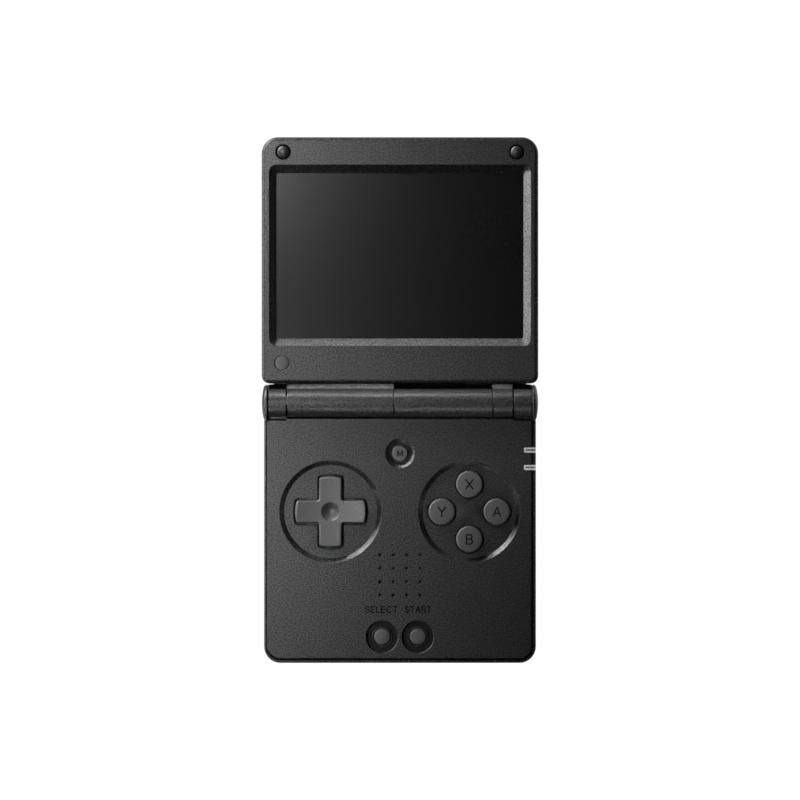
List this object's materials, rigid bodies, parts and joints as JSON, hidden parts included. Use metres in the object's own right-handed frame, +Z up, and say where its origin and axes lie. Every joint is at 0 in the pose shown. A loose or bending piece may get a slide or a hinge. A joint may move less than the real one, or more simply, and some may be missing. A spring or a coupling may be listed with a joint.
{
  "type": "clamshell handheld game console",
  "caption": "Pocket handheld game console with a hinged screen lid folded flat open, a direction pad, round buttons, shoulder keys and ports.",
  "frame": {"origin": "middle of the underside of the console lying opened flat on its base, below the middle of its whole outline", "axes": "+X to the right of the controls, +Y from the base towards the far edge of the opened lid, +Z up out of the control deck"},
  "size_m": [0.0844, 0.1604, 0.0221],
  "materials": {
    "shell_plastic": "fine spark-eroded grain, charcoal",
    "key_plastic": "smooth satin, slightly lighter charcoal",
    "screw_steel": "zinc plated",
    "port_steel": "stamped, satin",
    "hinge_steel": "turned, oiled",
    "board_laminate": "solder mask",
    "battery_foil": "satin pouch foil",
    "dark_trim": "moulded",
    "dark_cloth": "woven dust mesh",
    "light_pipe": "translucent, polished",
    "flex_film": "amber film",
    "silicone": "soft matte",
    "rubber_black": "soft matte",
    "screen_glass": "polished",
    "lcd_glass": "polarised, off",
    "diffuser": "white diffuser in a frame"
  },
  "bodies": {
    "base": {"base_bottom_shell": "shell_plastic", "base_top_shell": "shell_plastic", "battery_cover": "shell_plastic", "battery_cover_screw": "screw_steel", "base_screws": "screw_steel", "main_board": "board_laminate", "soc_shield": "port_steel", "io_board": "board_laminate", "battery": "battery_foil", "speaker": "dark_trim", "speaker_mesh": "dark_cloth", "power_light_pipe": "light_pipe", "charge_light_pipe": "light_pipe", "usb_c_port": "port_steel", "hdmi_port": "port_steel", "headphone_jack": "dark_trim", "card_slot_left": "port_steel", "card_slot_right": "port_steel", "tact_switches": "dark_trim", "hinge_cartridge": "hinge_steel", "hinge_spring": "hinge_steel", "hinge_sleeve_left": "hinge_steel", "hinge_sleeve_centre": "hinge_steel", "hinge_end_cap_left": "shell_plastic", "hinge_end_cap_right": "shell_plastic", "board_flex_tail": "flex_film", "dpad_membrane": "silicone", "face_button_membrane": "silicone", "menu_membrane": "silicone", "start_select_membrane": "silicone"},
    "lid": {"lid_front_shell": "shell_plastic", "lid_rear_shell": "shell_plastic", "screen_lens": "screen_glass", "screen_gasket": "rubber_black", "lcd_panel": "lcd_glass", "backlight_unit": "diffuser", "lid_bumpers": "rubber_black", "lid_screw_plug": "rubber_black", "lid_screws": "screw_steel", "lid_magnet": "port_steel", "lcd_flex_cable": "flex_film", "hinge_cam_shaft": "hinge_steel"},
    "dpad_pivot": {"dpad_pivot": "key_plastic"},
    "dpad": {"dpad": "key_plastic"},
    "button_x": {"button_x": "key_plastic"},
    "button_a": {"button_a": "key_plastic"},
    "button_b": {"button_b": "key_plastic"},
    "button_y": {"button_y": "key_plastic"},
    "button_menu": {"button_menu": "key_plastic"},
    "button_select": {"button_select": "key_plastic"},
    "button_start": {"button_start": "key_plastic"},
    "volume_rocker": {"volume_rocker": "key_plastic"},
    "power_button": {"power_button": "key_plastic"},
    "reset_button": {"reset_button": "key_plastic"},
    "shoulder_l1": {"shoulder_l1": "key_plastic"},
    "shoulder_l2": {"shoulder_l2": "key_plastic"},
    "shoulder_r1": {"shoulder_r1": "key_plastic"},
    "shoulder_r2": {"shoulder_r2": "key_plastic"}
  },
  "joints": [
    {"name": "lid_hinge", "type": "hinge", "parent": "base", "child": "lid", "pos_m": [0, -0.0009, 0.0165], "axis": [1, 0, 0], "range_deg": [0, 180]},
    {"name": "dpad_tilt_up_down", "type": "hinge", "parent": "base", "child": "dpad_pivot", "pos_m": [-0.02115, -0.0341, 0.0126], "axis": [1, 0, 0], "range_deg": [-4, 4], "stiffness_Nm_per_rad": 0.15, "deforming": ["dpad_membrane"]},
    {"name": "dpad_tilt_left_right", "type": "hinge", "parent": "dpad_pivot", "child": "dpad", "pos_m": [-0.02115, -0.0341, 0.0126], "axis": [0, 1, 0], "range_deg": [-4, 4], "stiffness_Nm_per_rad": 0.15},
    {"name": "button_x_press", "type": "slide", "parent": "base", "child": "button_x", "axis": [0, 0, -1], "range_m": [0, 0.001], "stiffness_N_per_m": 350},
    {"name": "button_a_press", "type": "slide", "parent": "base", "child": "button_a", "axis": [0, 0, -1], "range_m": [0, 0.001], "stiffness_N_per_m": 350, "deforming": ["face_button_membrane"]},
    {"name": "button_b_press", "type": "slide", "parent": "base", "child": "button_b", "axis": [0, 0, -1], "range_m": [0, 0.001], "stiffness_N_per_m": 350},
    {"name": "button_y_press", "type": "slide", "parent": "base", "child": "button_y", "axis": [0, 0, -1], "range_m": [0, 0.001], "stiffness_N_per_m": 350},
    {"name": "button_menu_press", "type": "slide", "parent": "base", "child": "button_menu", "axis": [0, 0, -1], "range_m": [0, 0.0008], "stiffness_N_per_m": 350, "deforming": ["menu_membrane"]},
    {"name": "button_select_press", "type": "slide", "parent": "base", "child": "button_select", "axis": [0, 0, -1], "range_m": [0, 0.0009], "stiffness_N_per_m": 350},
    {"name": "button_start_press", "type": "slide", "parent": "base", "child": "button_start", "axis": [0, 0, -1], "range_m": [0, 0.0009], "stiffness_N_per_m": 350, "deforming": ["start_select_membrane"]},
    {"name": "volume_rock", "type": "hinge", "parent": "base", "child": "volume_rocker", "pos_m": [-0.03875, -0.025, 0.0091], "axis": [0, 0, 1], "range_deg": [-3, 3], "stiffness_Nm_per_rad": 0.12},
    {"name": "power_press", "type": "slide", "parent": "base", "child": "power_button", "axis": [-1, 0, 0], "range_m": [0, 0.0005], "stiffness_N_per_m": 500},
    {"name": "reset_press", "type": "slide", "parent": "base", "child": "reset_button", "axis": [-1, 0, 0], "range_m": [0, 0.0004], "stiffness_N_per_m": 500},
    {"name": "shoulder_l1_press", "type": "slide", "parent": "base", "child": "shoulder_l1", "axis": [0, -1, 0], "range_m": [0, 0.0008], "stiffness_N_per_m": 400},
    {"name": "shoulder_l2_press", "type": "slide", "parent": "base", "child": "shoulder_l2", "axis": [0, -1, 0], "range_m": [0, 0.0008], "stiffness_N_per_m": 400},
    {"name": "shoulder_r1_press", "type": "slide", "parent": "base", "child": "shoulder_r1", "axis": [0, -1, 0], "range_m": [0, 0.0008], "stiffness_N_per_m": 400},
    {"name": "shoulder_r2_press", "type": "slide", "parent": "base", "child": "shoulder_r2", "axis": [0, -1, 0], "range_m": [0, 0.0008], "stiffness_N_per_m": 400}
  ]
}
